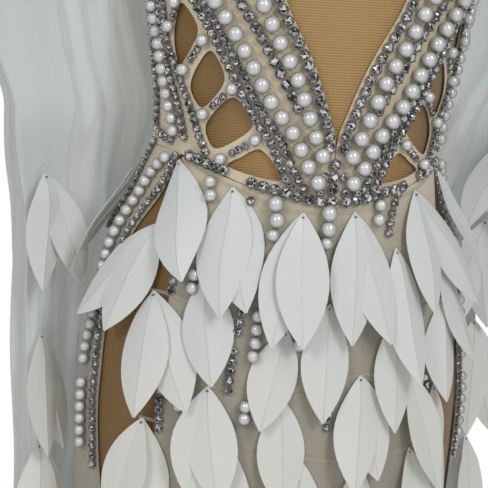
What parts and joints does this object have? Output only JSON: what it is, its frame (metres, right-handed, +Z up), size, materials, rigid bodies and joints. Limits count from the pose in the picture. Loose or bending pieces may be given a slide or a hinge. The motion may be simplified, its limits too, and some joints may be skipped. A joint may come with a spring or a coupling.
{
  "type": "prom dress on a limbless dress form",
  "caption": "Short sheer prom dress with a beaded V, hip cut-outs, wide sheer sleeves and leaf-shaped petals, worn by a limbless knit-covered dress form on a pole and round base",
  "frame": {"origin": "centre of the stand's round base, on the surface it stands on", "axes": "+X towards the dress's left side as worn, +Y towards the back, +Z up"},
  "size_m": [0.5406, 0.38, 1.5104],
  "materials": {
    "ivory_net": "sheer ivory net with a fine mesh",
    "white_tulle": "sheer cool white tulle",
    "satin_petal": "stiff satin organza, cool white",
    "pearl": "glossy imitation pearl",
    "knit": "fine golden-brown ribbed knit",
    "dark_wood": "satin varnished",
    "black_metal": "satin black"
  },
  "bodies": {
    "root": {"bodice_front_left": "ivory_net", "bodice_front_right": "ivory_net", "bodice_back": "ivory_net", "shoulder_back_left": "ivory_net", "shoulder_back_right": "ivory_net", "skirt_front": "ivory_net", "skirt_back": "ivory_net", "sleeve_left_front": "white_tulle", "sleeve_left_back": "white_tulle", "sleeve_right_front": "white_tulle", "sleeve_right_back": "white_tulle", "sleeve_left_petals": "satin_petal", "sleeve_right_petals": "satin_petal", "petals_waist": "satin_petal", "petals_hip": "satin_petal", "petals_middle": "satin_petal", "petals_lower": "satin_petal", "petals_low_row": "satin_petal", "petals_hem_front": "satin_petal", "petals_waist_back": "satin_petal", "petals_hip_back": "satin_petal", "petals_middle_back": "satin_petal", "petals_hem_back": "satin_petal", "pearls_inner_left": "pearl", "pearls_inner_right": "pearl", "pearls_outer_left": "pearl", "pearls_outer_right": "pearl", "side_pearls_left": "pearl", "side_pearls_right": "pearl", "hip_pearls_left": "pearl", "hip_pearls_right": "pearl", "form_body": "knit", "form_neck_cap": "dark_wood", "stand_pole": "black_metal", "stand_base": "black_metal"}
  },
  "joints": []
}
